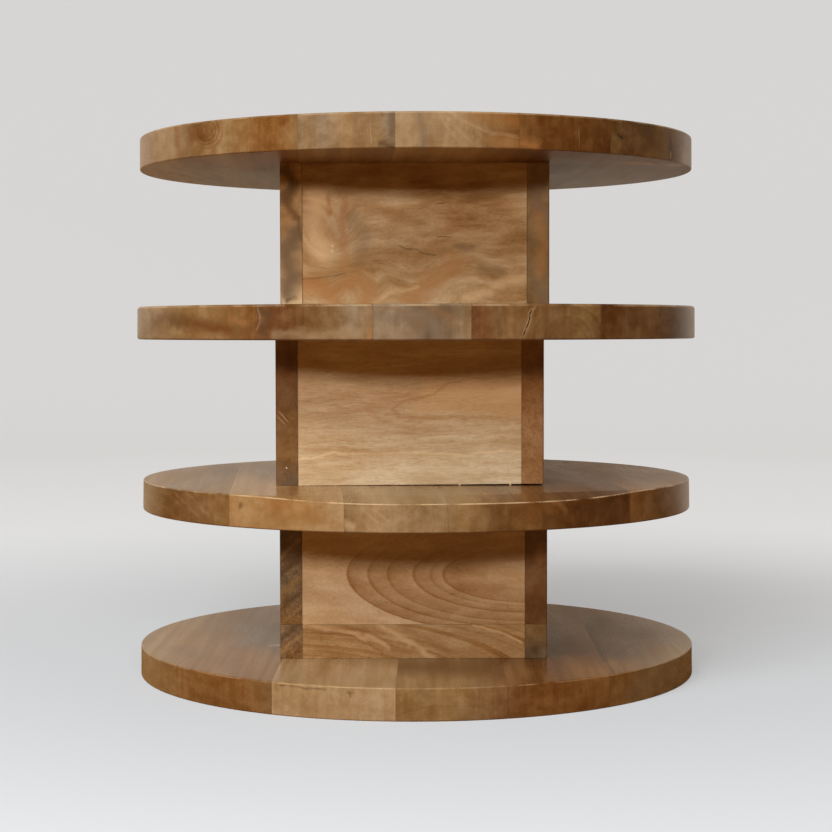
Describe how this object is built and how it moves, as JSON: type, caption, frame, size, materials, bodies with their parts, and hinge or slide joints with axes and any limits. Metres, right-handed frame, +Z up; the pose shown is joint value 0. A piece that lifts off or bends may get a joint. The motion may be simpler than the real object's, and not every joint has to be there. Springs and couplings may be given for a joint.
{
  "type": "tiered side table",
  "caption": "Round tiered side table of solid wood: stave-built discs stacked on closed square box columns, with open shelf space on every side.",
  "frame": {"origin": "middle of the base disc's underside, on the floor", "axes": "+Z up, the pictured front faces -Y, +X to the right seen from the front"},
  "size_m": [0.507, 0.507, 0.483],
  "materials": {
    "golden_brown_wood": "satin",
    "light_tan_wood": "satin",
    "grey_tan_wood": "satin",
    "red_brown_wood": "satin",
    "dark_brown_wood": "satin",
    "plain_wood": "satin",
    "screw_steel": "zinc plated"
  },
  "bodies": {
    "root": {"base_stave_1": "golden_brown_wood", "base_stave_2": "light_tan_wood", "base_stave_3": "grey_tan_wood", "base_stave_4": "red_brown_wood", "base_stave_5": "dark_brown_wood", "lower_column_back_bottom_cleat": "plain_wood", "lower_column_back_lower_board": "light_tan_wood", "lower_column_back_top_cleat": "plain_wood", "lower_column_back_upper_board": "light_tan_wood", "lower_column_front_bottom_cleat": "plain_wood", "lower_column_front_lower_board": "light_tan_wood", "lower_column_front_top_cleat": "plain_wood", "lower_column_front_upper_board": "light_tan_wood", "lower_column_left_lower_board": "dark_brown_wood", "lower_column_left_upper_board": "dark_brown_wood", "lower_column_right_lower_board": "dark_brown_wood", "lower_column_right_upper_board": "dark_brown_wood", "lower_column_screws": "screw_steel", "lower_shelf_stave_1": "golden_brown_wood", "lower_shelf_stave_2": "light_tan_wood", "lower_shelf_stave_3": "grey_tan_wood", "lower_shelf_stave_4": "golden_brown_wood", "lower_shelf_stave_5": "dark_brown_wood", "lower_shelf_stave_6": "golden_brown_wood", "middle_column_back_bottom_cleat": "plain_wood", "middle_column_back_panel": "light_tan_wood", "middle_column_back_top_cleat": "plain_wood", "middle_column_front_bottom_cleat": "plain_wood", "middle_column_front_panel": "light_tan_wood", "middle_column_front_top_cleat": "plain_wood", "middle_column_left_panel": "red_brown_wood", "middle_column_right_panel": "red_brown_wood", "middle_column_screws": "screw_steel", "top_stave_1": "golden_brown_wood", "top_stave_2": "grey_tan_wood", "top_stave_3": "light_tan_wood", "top_stave_4": "golden_brown_wood", "top_stave_5": "dark_brown_wood", "upper_column_back_bottom_cleat": "plain_wood", "upper_column_back_panel": "golden_brown_wood", "upper_column_back_top_cleat": "plain_wood", "upper_column_front_bottom_cleat": "plain_wood", "upper_column_front_panel": "golden_brown_wood", "upper_column_front_top_cleat": "plain_wood", "upper_column_left_panel": "dark_brown_wood", "upper_column_right_panel": "dark_brown_wood", "upper_column_screws": "screw_steel", "upper_shelf_stave_1": "golden_brown_wood", "upper_shelf_stave_2": "red_brown_wood", "upper_shelf_stave_3": "grey_tan_wood", "upper_shelf_stave_4": "golden_brown_wood", "upper_shelf_stave_5": "dark_brown_wood"}
  },
  "joints": []
}
